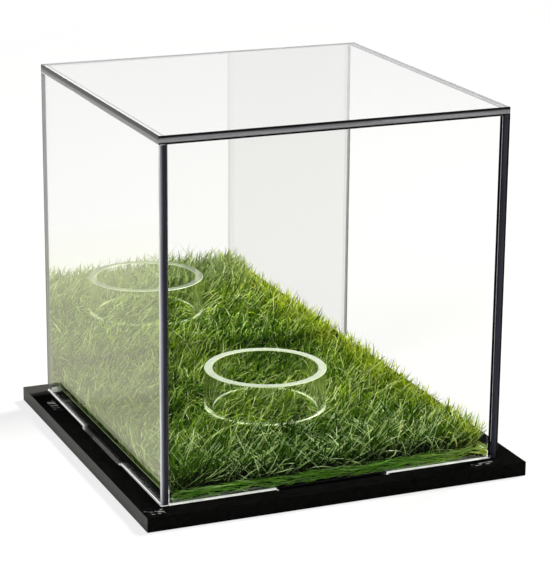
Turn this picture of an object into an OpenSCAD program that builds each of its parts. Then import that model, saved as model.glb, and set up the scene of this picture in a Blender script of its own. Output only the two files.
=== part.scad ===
// Square display case for one golf ball. A clear five-sided cover with a mirrored back stands on a black base
// plate. Its four tabs drop into slots. Inside, a turf mat carries a loose ring that the ball sits on.
// The origin is at the middle of the base plate's underside. +Z is up, and the mirror is on the +Y side.

/* [Cover] */
// Outside width of the clear cover, left to right
cover_w = 85; // [70:1:160]
// Outside depth of the clear cover, front to back
cover_d = 85; // [70:1:160]
// Height of the cover above the base plate
cover_h = 85; // [70:1:200]
// Thickness of the clear sheet
panel_t = 2; // [1.5:0.5:4]
// Thickness of the silvered and painted layer behind the back panel
mirror_t = 0.2; // [0.1:0.1:0.5]

/* [Base plate] */
// Width of the rim that the base plate shows round the cover
base_rim = 5; // [2:0.5:15]
// Thickness of the base plate
base_t = 3.5; // [2:0.5:8]

/* [Tabs] */
// Length of the tab along the foot of each side of the cover
tab_w = 28; // [10:1:40]
// Play between a tab and its slot, on every side
tab_play = 0.3; // [0.1:0.1:0.5]
// Distance from the end of a tab up to the underside of the base plate
tab_short = 0.5; // [0:0.1:1.5]

/* [Turf mat] */
// Gap between the mat and the inner faces of the cover
mat_gap = 1.5; // [0.5:0.5:4]
// Radius of the mat's corners
mat_corner_r = 2; // [0.5:0.5:3]
// Thickness of the double-sided adhesive sheet under the mat
adhesive_t = 0.3; // [0.1:0.1:1]
// Thickness of the mat's coated backing
backing_t = 1; // [0.5:0.1:2]
// Thickness of the green root layer that the blades are stitched into
root_t = 0.8; // [0.4:0.1:1.5]

/* [Grass blades] */
// Rows of blades each way
blade_rows = 18; // [18:1:20]
// Width of a blade at its root
blade_w = 1.3; // [0.8:0.1:1.4]
// Thickness of a blade at its root
blade_t = 0.6; // [0.4:0.1:0.8]
// Height of the shortest standing blade above the root layer
blade_min_h = 3.8; // [3:0.1:5]
// Height of the tallest standing blade above the root layer
blade_max_h = 6.4; // [5.2:0.1:8]
// Height of the blades that the ring presses down, above the root layer
pressed_h = 2.7; // [1.5:0.1:3]

/* [Ring stand] */
// Outside diameter of the ring
ring_d = 30; // [24:1:42]
// Wall thickness of the ring
ring_wall = 2; // [1:0.5:4]
// Height of the ring
ring_h = 10; // [6:1:20]

/* [Hidden] */
$fn = 96;

base_w = cover_w + 2 * base_rim;
base_d = cover_d + 2 * base_rim;

// The side panels run the full depth, the front and back fit between them, and the top covers all four
side_h = cover_h - panel_t;
front_w = cover_w - 2 * panel_t;
tab_h = base_t - tab_short;

// A cut that has to break through runs this much past the surface
past = 1;

// The mat's layers, from the base plate up
mat_w = cover_w - 2 * (panel_t + mat_gap);
mat_d = cover_d - 2 * (panel_t + mat_gap);
backing_z = base_t + adhesive_t;
root_z = backing_z + backing_t;
root_top = root_z + root_t;
ring_z = root_top + pressed_h;
ring_r = ring_d / 2;

// One blade stands in each cell of a grid over the mat, and leans no further than its own cell
cell_w = mat_w / blade_rows;
cell_d = mat_d / blade_rows;
cell_margin = 0.1;
blade_count = blade_rows * blade_rows;

// How far a blade's foot may stand off the middle of its cell
foot_stray = 0.35;
// Where a blade bends, as a share of its height, and its width there, as a share of its width at the root
bend_at = 0.55;
bend_width = 0.8;
// Share of the lean that a blade has already reached where it bends
bend_lean = 0.35;
// How far a mat corner's middle lies inside the square corner, as a share of its radius
corner_share = 1 - sqrt(0.5);

// One value for each blade, the same on every build
foot_x = rands(-foot_stray, foot_stray, blade_count, 11);
foot_y = rands(-foot_stray, foot_stray, blade_count, 12);
turn = rands(-40, 40, blade_count, 13);
lean_x = rands(-1, 1, blade_count, 14);
lean_y = rands(-1, 1, blade_count, 15);
tall = rands(blade_min_h, blade_max_h, blade_count, 16);
crossways = rands(0, 1, blade_count, 17);

// Black plate with a slot under each tab
module base_plate() {
    color([0.05, 0.05, 0.06])
    difference() {
        translate([-base_w / 2, -base_d / 2, 0])
            cube([base_w, base_d, base_t]);
        for (side = [-1, 1]) {
            translate([0, side * (cover_d - panel_t) / 2, 0])
                tab_slot(tab_w, panel_t);
            translate([side * (cover_w - panel_t) / 2, 0, 0])
                tab_slot(panel_t, tab_w);
        }
    }
}

// Room for one tab and its play, right through the base plate
module tab_slot(x, y) {
    slot_x = x + 2 * tab_play;
    slot_y = y + 2 * tab_play;
    translate([-slot_x / 2, -slot_y / 2, -past])
        cube([slot_x, slot_y, base_t + 2 * past]);
}

// Outline of the mat: a rectangle with round corners
module mat_outline() {
    square([mat_w - 2 * mat_corner_r, mat_d], center = true);
    square([mat_w, mat_d - 2 * mat_corner_r], center = true);
    for (x = [-1, 1], y = [-1, 1])
        translate([x * (mat_w / 2 - mat_corner_r), y * (mat_d / 2 - mat_corner_r)])
            circle(mat_corner_r);
}

module mat_adhesive() {
    color([0.85, 0.87, 0.8])
    translate([0, 0, base_t])
        linear_extrude(adhesive_t)
            mat_outline();
}

module turf_backing() {
    color([0.08, 0.16, 0.06])
    translate([0, 0, backing_z])
        linear_extrude(backing_t)
            mat_outline();
}

// The root layer and its blades are one skin: each grid cell closes on the foot of its own blade
module turf_pile() {
    grid_n = blade_rows + 1;
    grid_total = grid_n * grid_n;
    foot_start = grid_total;
    floor_start = grid_total + 9 * blade_count;
    color([0.3, 0.45, 0.12])
    polyhedron(
        points = concat(
            [for (j = [0:blade_rows], i = [0:blade_rows]) grid_point(i, j, root_top)],
            [for (j = [0:blade_rows - 1], i = [0:blade_rows - 1]) each blade_points(i, j)],
            [for (c = [[0, 0], [1, 0], [1, 1], [0, 1]])
                grid_point(c[0] * blade_rows, c[1] * blade_rows, root_z)]
        ),
        faces = concat(
            [for (j = [0:blade_rows - 1], i = [0:blade_rows - 1])
                each blade_faces(
                    [j * grid_n + i, j * grid_n + i + 1, (j + 1) * grid_n + i + 1, (j + 1) * grid_n + i],
                    foot_start + 9 * (j * blade_rows + i)
                )],
            edge_faces([for (i = [0:blade_rows]) i], floor_start, floor_start + 1),
            edge_faces([for (j = [0:blade_rows]) j * grid_n + blade_rows], floor_start + 1, floor_start + 2),
            edge_faces([for (i = [0:blade_rows]) grid_total - 1 - i], floor_start + 2, floor_start + 3),
            edge_faces([for (j = [0:blade_rows]) (blade_rows - j) * grid_n], floor_start + 3, floor_start),
            [[floor_start, floor_start + 1, floor_start + 2], [floor_start, floor_start + 2, floor_start + 3]]
        )
    );
}

// A corner of the grid. The mat's own four corners are eased inward
function grid_point(i, j, z) =
    let (
        at_corner = (i == 0 || i == blade_rows) && (j == 0 || j == blade_rows),
        ease = at_corner ? mat_corner_r * corner_share : 0,
        x = i * cell_w - mat_w / 2,
        y = j * cell_d - mat_d / 2
    )
    [x - sign(x) * ease, y - sign(y) * ease, z];

// Nine points of a blade: four round its foot, four round its bend and one at its tip
function blade_points(i, j) =
    let (
        k = j * blade_rows + i,
        middle = [(i + 0.5) * cell_w - mat_w / 2, (j + 0.5) * cell_d - mat_d / 2],
        pressed = is_pressed(middle),
        foot = middle + [foot_x[k], foot_y[k]],
        reach = [cell_w, cell_d] / 2 - [1, 1] * cell_margin,
        bent = pressed ? [0, 0] : [lean_x[k] * reach[0], lean_y[k] * reach[1]],
        tip = pressed ? foot : middle + bent,
        bend = foot + (tip - foot) * bend_lean,
        share = pressed ? 1 : bend_at,
        height = pressed ? pressed_h : tall[k]
    )
    concat(
        ring_points(foot, k, 1, root_top),
        ring_points(bend, k, bend_width, root_top + share * height),
        [[tip[0], tip[1], root_top + height]]
    );

// The ring presses a blade down where the blade's cell reaches under it
function is_pressed(middle) =
    let (half_diagonal = norm([cell_w, cell_d]) / 2)
    norm(middle) > ring_r - ring_wall - half_diagonal && norm(middle) < ring_r + half_diagonal;

// Four points round a blade, turned with it, starting at the cell's lower left
function ring_points(at, k, width, z) =
    let (
        w = (crossways[k] > 0.5 ? blade_t : blade_w) * width / 2,
        t = (crossways[k] > 0.5 ? blade_w : blade_t) * width / 2,
        c = cos(turn[k]),
        s = sin(turn[k])
    )
    [for (p = [[-w, -t], [w, -t], [w, t], [-w, t]])
        [at[0] + c * p[0] - s * p[1], at[1] + s * p[0] + c * p[1], z]];

// Root surface round one blade, then the blade's two stretches, seen clockwise from outside
function blade_faces(cell, first) = [
    for (a = [0:3]) let (b = (a + 1) % 4) each [
        [cell[a], first + b, cell[b]],
        [cell[a], first + a, first + b],
        [first + a, first + 4 + b, first + b],
        [first + a, first + 4 + a, first + 4 + b],
        [first + 4 + a, first + 8, first + 4 + b]
    ]
];

// One side of the root layer, from the grid's edge down to two corners of its floor
function edge_faces(rim, floor_a, floor_b) =
    let (last = len(rim) - 1)
    concat(
        [for (i = [0:last - 1]) [floor_a, rim[i], rim[i + 1]]],
        [[floor_a, rim[last], floor_b]]
    );

// Clear tube that the ball sits in, resting on the pressed blades
module ring_stand() {
    color([0.8, 0.9, 0.85, 0.6])
    translate([0, 0, ring_z])
        difference() {
            cylinder(h = ring_h, r = ring_r);
            translate([0, 0, -past])
                cylinder(h = ring_h + 2 * past, r = ring_r - ring_wall);
        }
}

// A side of the cover, standing in the XZ plane on the base plate, with its tab below
module tabbed_sheet(width, thickness) {
    translate([-width / 2, 0, base_t])
        cube([width, thickness, side_h]);
    translate([-tab_w / 2, 0, tab_short])
        cube([tab_w, thickness, tab_h + past]);
}

module front_panel() {
    color([0.85, 0.92, 0.95, 0.3])
    translate([0, -cover_d / 2, 0])
        tabbed_sheet(front_w, panel_t);
}

module left_panel() {
    color([0.85, 0.92, 0.95, 0.3])
    translate([-cover_w / 2, 0, 0])
        rotate([0, 0, -90])
            tabbed_sheet(cover_d, panel_t);
}

module right_panel() {
    color([0.85, 0.92, 0.95, 0.3])
    translate([cover_w / 2, 0, 0])
        rotate([0, 0, 90])
            tabbed_sheet(cover_d, panel_t);
}

// The clear face of the mirror. Its silvered layer makes up the rest of the sheet's thickness
module back_panel() {
    color([0.85, 0.92, 0.95, 0.3])
    translate([0, cover_d / 2 - panel_t, 0])
        tabbed_sheet(front_w, panel_t - mirror_t);
}

module mirror_backing() {
    color([0.6, 0.62, 0.64])
    translate([0, cover_d / 2 - mirror_t, 0])
        tabbed_sheet(front_w, mirror_t);
}

module top_panel() {
    color([0.85, 0.92, 0.95, 0.3])
    translate([-cover_w / 2, -cover_d / 2, base_t + side_h])
        cube([cover_w, cover_d, panel_t]);
}

base_plate();
mat_adhesive();
turf_backing();
turf_pile();
ring_stand();
front_panel();
left_panel();
right_panel();
back_panel();
mirror_backing();
top_panel();
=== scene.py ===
import math

import bmesh
import bpy
import numpy as np
from mathutils import Matrix, Vector


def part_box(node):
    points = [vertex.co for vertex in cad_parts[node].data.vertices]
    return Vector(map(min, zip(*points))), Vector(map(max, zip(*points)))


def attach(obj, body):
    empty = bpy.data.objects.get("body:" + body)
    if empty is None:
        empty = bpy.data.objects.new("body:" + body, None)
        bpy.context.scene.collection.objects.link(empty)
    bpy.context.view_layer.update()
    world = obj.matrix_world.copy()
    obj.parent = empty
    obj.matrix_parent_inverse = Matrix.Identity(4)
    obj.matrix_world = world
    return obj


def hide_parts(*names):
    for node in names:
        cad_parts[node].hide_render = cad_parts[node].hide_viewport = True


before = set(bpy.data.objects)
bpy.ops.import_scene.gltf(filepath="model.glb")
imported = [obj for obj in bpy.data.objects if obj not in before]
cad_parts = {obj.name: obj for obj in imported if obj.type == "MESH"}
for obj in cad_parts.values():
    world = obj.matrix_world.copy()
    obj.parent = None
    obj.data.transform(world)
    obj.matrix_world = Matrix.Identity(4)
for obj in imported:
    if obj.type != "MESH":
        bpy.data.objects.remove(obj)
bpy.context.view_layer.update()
mm = 0.001

# camera, fitted to the corners of the case in the photograph
photo = {
    "width": 550,  # pixels
    "height": 569,
    "azimuth": -22.9,  # degrees, the camera stands to the left of the front
    "elevation": 16.6,
    "roll": 0.5,
    "distance": 562 * mm,
    "right": 2.8 * mm,  # the camera stands this far to the right of the origin's line of sight
    "up": 37.5 * mm,
    "focalPixels": 2270,
    "sensorWidth": 36,  # millimetres
    "clipStart": 10 * mm,
}


def placeCamera(settings):
    a, e, r = (math.radians(settings[key]) for key in ("azimuth", "elevation", "roll"))
    back = Vector((math.sin(a) * math.cos(e), -math.cos(a) * math.cos(e), math.sin(e)))
    level = Vector((0, 0, 1)).cross(back).normalized()
    upright = back.cross(level)
    right = level * math.cos(r) + upright * math.sin(r)
    up = back.cross(right)
    data = bpy.data.cameras.new("camera")
    data.sensor_width = settings["sensorWidth"]
    data.lens = settings["focalPixels"] * data.sensor_width / max(settings["width"], settings["height"])
    data.clip_start = settings["clipStart"]
    camera = bpy.data.objects.new("camera", data)
    camera.matrix_world = Matrix((right, up, back)).transposed().to_4x4()
    camera.location = right * settings["right"] + up * settings["up"] + back * settings["distance"]
    bpy.context.scene.collection.objects.link(camera)
    bpy.context.scene.camera = camera


placeCamera(photo)
print("camera placed")


# node helpers
def grey(level):
    return (level, level, level, 1)


def addNode(tree, kind, values=None, **settings):
    made = tree.nodes.new(kind)
    for key, value in settings.items():
        setattr(made, key, value)
    for key, value in (values or {}).items():
        made.inputs[key].default_value = value
    return made


def emptyTree(owner):
    # the node tree of a new material or of the room, with nothing in it
    owner.use_nodes = True
    owner.node_tree.nodes.clear()
    return owner.node_tree


def linker(tree):
    # gives a function that links one node's output to another's input
    def link(source, output, target, key):
        tree.links.new(source.outputs[output], target.inputs[key])

    return link


def findNode(tree, kind):
    return next(node for node in tree.nodes if node.type == kind)


def startMaterial(name, values):
    material = bpy.data.materials.new(name)
    tree = emptyTree(material)
    output = addNode(tree, "ShaderNodeOutputMaterial")
    shader = addNode(tree, "ShaderNodeBsdfPrincipled", values)
    tree.links.new(shader.outputs[0], output.inputs["Surface"])
    return material, tree, shader


def startGroup(name, inputs, outputs):
    group = bpy.data.node_groups.new(name, "ShaderNodeTree")
    for label, kind, value in inputs:
        socket = group.interface.new_socket(label, in_out="INPUT", socket_type=kind)
        socket.default_value = value
    for label, kind in outputs:
        group.interface.new_socket(label, in_out="OUTPUT", socket_type=kind)
    return group, addNode(group, "NodeGroupInput"), addNode(group, "NodeGroupOutput")


def placeGroup(tree, group, values):
    return addNode(tree, "ShaderNodeGroup", values, node_tree=group)


def fillRamp(ramp, stops):
    elements = ramp.color_ramp.elements
    while len(elements) < len(stops):
        elements.new(0.5)
    for element, (position, colour) in zip(elements, stops):
        element.position = position
        element.color = colour


def makeSpeckleGroup():
    # fine grain that mixes two colours and gives a roughness and a height
    group, entry, result = startGroup(
        "fineSpeckle",
        [
            ("Scale", "NodeSocketFloat", 900.0),
            ("Color Low", "NodeSocketColor", grey(0)),
            ("Color High", "NodeSocketColor", grey(1)),
            ("Rough Low", "NodeSocketFloat", 0.2),
            ("Rough High", "NodeSocketFloat", 0.4),
        ],
        [("Color", "NodeSocketColor"), ("Roughness", "NodeSocketFloat"), ("Height", "NodeSocketFloat")],
    )
    place = addNode(group, "ShaderNodeTexCoord")
    grain = addNode(group, "ShaderNodeTexNoise", {"Detail": 4.0, "Roughness": 0.6})
    spread = addNode(group, "ShaderNodeMapRange", {"From Min": 0.3, "From Max": 0.7})
    colour = addNode(group, "ShaderNodeMix", data_type="RGBA")
    rough = addNode(group, "ShaderNodeMapRange")
    link = linker(group)
    link(place, "Object", grain, "Vector")
    link(entry, "Scale", grain, "Scale")
    link(grain, "Fac", spread, "Value")
    link(spread, "Result", colour, "Factor")
    link(entry, "Color Low", colour, 6)
    link(entry, "Color High", colour, 7)
    link(spread, "Result", rough, "Value")
    link(entry, "Rough Low", rough, "To Min")
    link(entry, "Rough High", rough, "To Max")
    link(colour, 2, result, "Color")
    link(rough, "Result", result, "Roughness")
    link(spread, "Result", result, "Height")
    return group


speckleGroup = makeSpeckleGroup()


def speckledMaterial(name, look):
    material, tree, shader = startMaterial(name, look.get("shader"))
    link = linker(tree)
    speckle = placeGroup(tree, speckleGroup, {
        "Scale": look["scale"],
        "Color Low": look["low"],
        "Color High": look["high"],
        "Rough Low": look["rough"][0],
        "Rough High": look["rough"][1],
    })
    bump = addNode(tree, "ShaderNodeBump", {"Strength": look["bump"], "Distance": look["depth"]})
    link(speckle, "Color", shader, "Base Color")
    link(speckle, "Roughness", shader, "Roughness")
    link(speckle, "Height", bump, "Height")
    link(bump, "Normal", shader, "Normal")
    return material


# finishes
acrylicLook = {
    "index": 1.49,
    "tint": (0.996, 0.996, 0.994, 1),
    "slant": (0.94, 0.94, 0.938, 1),  # what a slanting sheet lets through of the mirrored room
    "slantFrom": 0.35,
    "slantTo": 0.6,
}
# edges of the sheets: painted bands of reflection and shade, from the inner or lower face to the outer or
# upper one, as seen from outside, through the sheet from inside, and in the mirror; each edge is painted
# for the light on its own side
uprightEdge = {
    "axis": "X", "from": 40.5 * mm, "to": 42.5 * mm, "streaks": (2500, 2500, 60), "specular": 0.25,
}
levelEdge = {
    "axis": "Z", "from": 86.5 * mm, "to": 88.5 * mm, "streaks": (60, 60, 2500), "specular": 0.25,
}
frontLeftLook = {
    **uprightEdge,
    "outside": [
        (0.0, (0.45, 0.45, 0.47, 1)),
        (0.08, (0.03, 0.032, 0.04, 1)),
        (0.5, (0.028, 0.03, 0.042, 1)),
        (0.66, (0.12, 0.12, 0.14, 1)),
        (0.8, (0.3, 0.3, 0.33, 1)),
        (0.92, (0.7, 0.7, 0.74, 1)),
    ],
    "inside": [(0.0, grey(0.85)), (1.0, grey(0.85))],
    "mirrored": grey(0.85),
}
frontRightLook = {
    **uprightEdge,
    "outside": [
        (0.0, (0.01, 0.01, 0.016, 1)),
        (0.25, (0.032, 0.033, 0.048, 1)),
        (0.7, (0.045, 0.046, 0.062, 1)),
        (0.82, (0.005, 0.005, 0.007, 1)),
    ],
    "inside": [(0.0, (0.004, 0.004, 0.007, 1)), (1.0, (0.02, 0.02, 0.03, 1))],
    "mirrored": grey(0.9),
}
backLeftLook = {
    **uprightEdge,
    "outside": [
        (0.0, (0.02, 0.02, 0.03, 1)),
        (0.5, (0.045, 0.046, 0.06, 1)),
        (1.0, (0.01, 0.01, 0.015, 1)),
    ],
    "inside": [
        (0.0, grey(0.3)),
        (0.4, grey(0.18)),
        (0.7, grey(0.16)),
        (0.9, grey(0.03)),
    ],
    "mirrored": grey(0.4),
}
backRightLook = {**backLeftLook, "mirrored": grey(1), "clearInside": True}
topFrontLook = {
    **levelEdge,
    "outside": [
        (0.16, grey(0.002)),
        (0.3, (0.36, 0.36, 0.38, 1)),
        (0.6, (0.3, 0.3, 0.32, 1)),
        (0.78, grey(0.01)),
    ],
    "inside": [(0.0, grey(0.25)), (0.3, grey(0.8)), (0.8, grey(0.5))],
    "mirrored": grey(0.85),
}
topLeftLook = {
    **levelEdge,
    "outside": [
        (0.0, grey(0.45)),
        (0.15, grey(0.24)),
        (0.5, grey(0.16)),
        (0.58, grey(0.002)),
    ],
    "inside": [(0.0, grey(0.3)), (0.3, grey(0.8)), (1.0, grey(0.3))],
    "mirrored": grey(0.85),
}
topFarLook = {
    **levelEdge,
    "outside": [
        (0.1, grey(0.01)),
        (0.3, grey(0.2)),
        (0.7, grey(0.2)),
        (0.9, grey(0.02)),
    ],
    "inside": [
        (0.2, grey(0.02)),
        (0.3, grey(0.66)),
        (0.7, grey(0.66)),
        (0.8, grey(0.02)),
    ],
    "mirrored": grey(0.85),
}
# bonded ends: painted bands of reflection and shade, as they show through the sheets
topBondLook = {
    "axis": "X", "from": 40.5 * mm, "to": 42.5 * mm, "streaks": (2500, 60, 60), "specular": 0.0,
    "outside": [
        (0.22, grey(0.05)),
        (0.32, grey(0.8)),
        (0.68, grey(0.8)),
        (0.78, grey(0.05)),
    ],
    "inside": [(0.0, grey(0.7)), (1.0, grey(0.7))],
    "mirrored": grey(0.9),
}
backBondLook = {
    **topBondLook,
    "axis": "Y", "streaks": (60, 2500, 60),
    "outside": [(0.0, grey(0.35)), (0.2, grey(0.5)), (0.9, grey(0.42))],
}
nearBondLook = {
    **topBondLook,
    "outside": [(0.0, grey(0.3)), (0.24, grey(0.3)), (0.32, grey(0.8))],
}
backLeftBondLook = {
    **backBondLook,
    "streaks": (2500, 2500, 60),
    "outside": [(0.0, grey(0.3)), (0.4, grey(0.17)), (1.0, grey(0.14))],
    "inside": [(0.0, grey(0.3)), (1.0, grey(0.2))],
}
backRightBondLook = {
    **backLeftBondLook,
    "outside": [(0.0, grey(0.5)), (1.0, grey(0.5))],
    "inside": [(0.0, grey(0.25)), (0.6, grey(0.4))],
}
frontRightBondLook = {**frontRightLook, "specular": 0.0}
# the left panel's foot: a painted bright line outside, and from within a painted reflection of the black
# base
leftFootLook = {
    **topBondLook,
    "outside": [(0.0, (0.8, 0.84, 0.78, 1)), (1.0, (0.8, 0.84, 0.78, 1))],
    "inside": [(0.0, grey(0.01)), (1.0, grey(0.01))],
}
blackLook = {
    "scale": 700.0,
    "low": grey(0.002),
    "high": grey(0.005),
    "rough": (0.02, 0.05),
    "bump": 0.03,
    "depth": 0.02 * mm,
    "shader": {"Specular IOR Level": 0.0},
    "paintedSheenFrom": 39 * mm,  # painted sheen: the far rim takes the light of the room
    "paintedSheenTo": 42 * mm,
    "paintedSheen": (0.06, 0.057, 0.054, 1),
    # painted glints: reflections of the lit grass and the sheets in the polished rim
    "glint": grey(0.24),
    "glints": [
        # middle, half size, grain, share left dark
        ((-44.4 * mm, 31 * mm, 3.5 * mm), (1.7 * mm, 8 * mm, 1 * mm), (300, 1500, 100), 0.5),
        ((-44.6 * mm, -44.6 * mm, 3.5 * mm), (3.4 * mm, 1.9 * mm, 1 * mm), (700, 1500, 100), 0.5),
        ((37.0 * mm, -44.8 * mm, 3.5 * mm), (6 * mm, 1.2 * mm, 1 * mm), (500, 1700, 100), 0.54),
    ],
}
blackSideLook = {
    "scale": 900.0,
    "low": grey(0.002),
    "high": grey(0.006),
    "rough": (0.08, 0.16),
    "bump": 0.08,
    "depth": 0.03 * mm,
    "shader": {"Specular IOR Level": 0.2},
}
sawnLook = {
    **blackSideLook,
    "low": (0.043, 0.044, 0.05, 1),
    "high": (0.082, 0.084, 0.094, 1),
    "rough": (0.3, 0.5),
    "shader": {"Specular IOR Level": 0.04},
}
cutEdgeLook = {
    "scale": 2500.0,
    "low": (0.8, 0.85, 0.78, 1),
    "high": (0.97, 0.98, 0.95, 1),
    "rough": (0.25, 0.5),
    "bump": 0.3,
    "depth": 0.05 * mm,
    # painted glow: a sawn edge lets out light that the sheet carries, drawn as emission
    "shader": {"Emission Color": (1.0, 1.0, 0.97, 1), "Emission Strength": 0.15},
}
# a stronger painted glow along the bevel of the left panel's foot
footLineLook = {
    **cutEdgeLook,
    "shader": {"Emission Color": (1.0, 1.0, 0.97, 1), "Emission Strength": 0.7},
}
# the ring's rims are frosted pale, tinted with painted green light from the grass
ringRimLook = {
    "scale": 1500.0,
    "low": (0.34, 0.42, 0.28, 1),
    "high": (0.55, 0.6, 0.5, 1),
    "rough": (0.25, 0.5),
    "bump": 0.3,
    "depth": 0.05 * mm,
}
ringFootLook = {
    **ringRimLook,
    "scale": 1800.0,
    "low": (0.5, 0.62, 0.3, 1),
    "high": (0.8, 0.92, 0.6, 1),
}
mirrorLook = {"Metallic": 1.0, "Roughness": 0.0, "Base Color": (0.98, 0.98, 0.975, 1)}
paintLook = {
    "scale": 1400.0,
    "low": (0.36, 0.37, 0.38, 1),
    "high": (0.42, 0.43, 0.44, 1),
    "rough": (0.4, 0.6),
    "bump": 0.2,
    "depth": 0.02 * mm,
}
latexLook = {
    "scale": 1100.0,
    "low": (0.001, 0.002, 0.001, 1),
    "high": (0.004, 0.008, 0.003, 1),
    "rough": (0.6, 0.8),
    "bump": 0.6,
    "depth": 0.1 * mm,
    "shader": {"Specular IOR Level": 0.03},
}
adhesiveLook = {
    "scale": 1600.0,
    "low": (0.55, 0.62, 0.45, 1),
    "high": (0.75, 0.8, 0.65, 1),
    "rough": (0.3, 0.5),
    "bump": 0.2,
    "depth": 0.03 * mm,
    "shadeTo": -38.8 * mm,  # the left edge lies in the shade
    "shade": (0.004, 0.005, 0.003, 1),
}
# the root layer's left side: dark, with a painted highlight line along its top
rootEdgeLook = {
    "axis": "Z", "from": 4.8 * mm, "to": 5.6 * mm, "streaks": (60, 1500, 60), "specular": 0.0,
    "outside": [(0.66, (0.002, 0.004, 0.001, 1)), (0.76, (0.5, 0.55, 0.32, 1))],
    "inside": [(0.0, (0.002, 0.004, 0.001, 1)), (1.0, (0.002, 0.004, 0.001, 1))],
    "mirrored": grey(1),
}
rootLook = {
    "scale": 1300.0,
    "low": (0.002, 0.022, 0.0003, 1),
    "high": (0.01, 0.07, 0.001, 1),
    "rough": (0.55, 0.8),
    "bump": 1.0,
    "depth": 0.25 * mm,
}


def makeGlintGroup():
    # a patch of streaked painted glints around a middle
    group, entry, result = startGroup(
        "glintMask",
        [
            ("Middle", "NodeSocketVector", (0, 0, 0)),
            ("Half Size", "NodeSocketVector", (1, 1, 1)),
            ("Grain", "NodeSocketVector", (1, 1, 1)),
            ("Dark Share", "NodeSocketFloat", 0.5),
        ],
        [("Mask", "NodeSocketFloat")],
    )
    link = linker(group)
    place = addNode(group, "ShaderNodeTexCoord")
    moved = addNode(group, "ShaderNodeVectorMath", operation="SUBTRACT")
    scaled = addNode(group, "ShaderNodeVectorMath", operation="DIVIDE")
    size = addNode(group, "ShaderNodeVectorMath", operation="ABSOLUTE")
    split = addNode(group, "ShaderNodeSeparateXYZ")
    away = addNode(group, "ShaderNodeMath", operation="MAXIMUM")
    inside = addNode(group, "ShaderNodeMapRange", {
        "From Min": 1.0, "From Max": 0.5, "To Min": -0.5, "To Max": 0.0,
    })
    stretched = addNode(group, "ShaderNodeVectorMath", operation="MULTIPLY")
    grain = addNode(group, "ShaderNodeTexNoise", {"Scale": 1.0, "Detail": 3.0})
    raised = addNode(group, "ShaderNodeMath", operation="ADD")
    above = addNode(group, "ShaderNodeMath", operation="SUBTRACT")
    mask = addNode(group, "ShaderNodeMapRange", {"From Max": 0.04})
    link(place, "Object", moved, 0)
    link(entry, "Middle", moved, 1)
    link(moved, 0, scaled, 0)
    link(entry, "Half Size", scaled, 1)
    link(scaled, 0, size, 0)
    link(size, 0, split, 0)
    link(split, "X", away, 0)
    link(split, "Y", away, 1)
    link(away, 0, inside, "Value")
    link(place, "Object", stretched, 0)
    link(entry, "Grain", stretched, 1)
    link(stretched, 0, grain, "Vector")
    link(grain, "Fac", raised, 0)
    link(inside, "Result", raised, 1)
    link(raised, 0, above, 0)
    link(entry, "Dark Share", above, 1)
    link(above, 0, mask, "Value")
    link(mask, "Result", result, "Mask")
    return group


glintGroup = makeGlintGroup()


def glossMaterial(name, look):
    # black gloss with a painted sheen of the room on its far rim and patches of painted glints, reflections
    # of the grass and the sheets
    material = speckledMaterial(name, look)
    tree = material.node_tree
    link = linker(tree)
    entry = findNode(tree, "BSDF_PRINCIPLED").inputs["Base Color"]
    place = addNode(tree, "ShaderNodeTexCoord")
    split = addNode(tree, "ShaderNodeSeparateXYZ")
    far = addNode(tree, "ShaderNodeMapRange", {"From Min": look["paintedSheenFrom"], "From Max": look["paintedSheenTo"]})
    sheened = addNode(tree, "ShaderNodeMix", {7: look["paintedSheen"]}, data_type="RGBA")
    link(place, "Object", split, 0)
    link(split, "Y", far, "Value")
    link(far, "Result", sheened, "Factor")
    tree.links.new(entry.links[0].from_socket, sheened.inputs[6])
    colour = sheened.outputs[2]
    for middle, half, grain, dark in look["glints"]:
        glint = placeGroup(tree, glintGroup, {
            "Middle": middle, "Half Size": half, "Grain": grain, "Dark Share": dark,
        })
        bright = addNode(tree, "ShaderNodeMix", {7: look["glint"]}, data_type="RGBA")
        link(glint, "Mask", bright, "Factor")
        tree.links.new(colour, bright.inputs[6])
        colour = bright.outputs[2]
    tree.links.new(colour, entry)
    return material


def adhesiveMaterial(name, look):
    # a pale sheet with painted shade on its left edge
    material = speckledMaterial(name, look)
    tree = material.node_tree
    link = linker(tree)
    entry = findNode(tree, "BSDF_PRINCIPLED").inputs["Base Color"]
    place = addNode(tree, "ShaderNodeTexCoord")
    split = addNode(tree, "ShaderNodeSeparateXYZ")
    left = addNode(tree, "ShaderNodeMath", {1: look["shadeTo"]}, operation="LESS_THAN")
    shaded = addNode(tree, "ShaderNodeMix", {7: look["shade"]}, data_type="RGBA")
    link(place, "Object", split, 0)
    link(split, "X", left, 0)
    link(left, 0, shaded, "Factor")
    tree.links.new(entry.links[0].from_socket, shaded.inputs[6])
    tree.links.new(shaded.outputs[2], entry)
    return material


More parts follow.
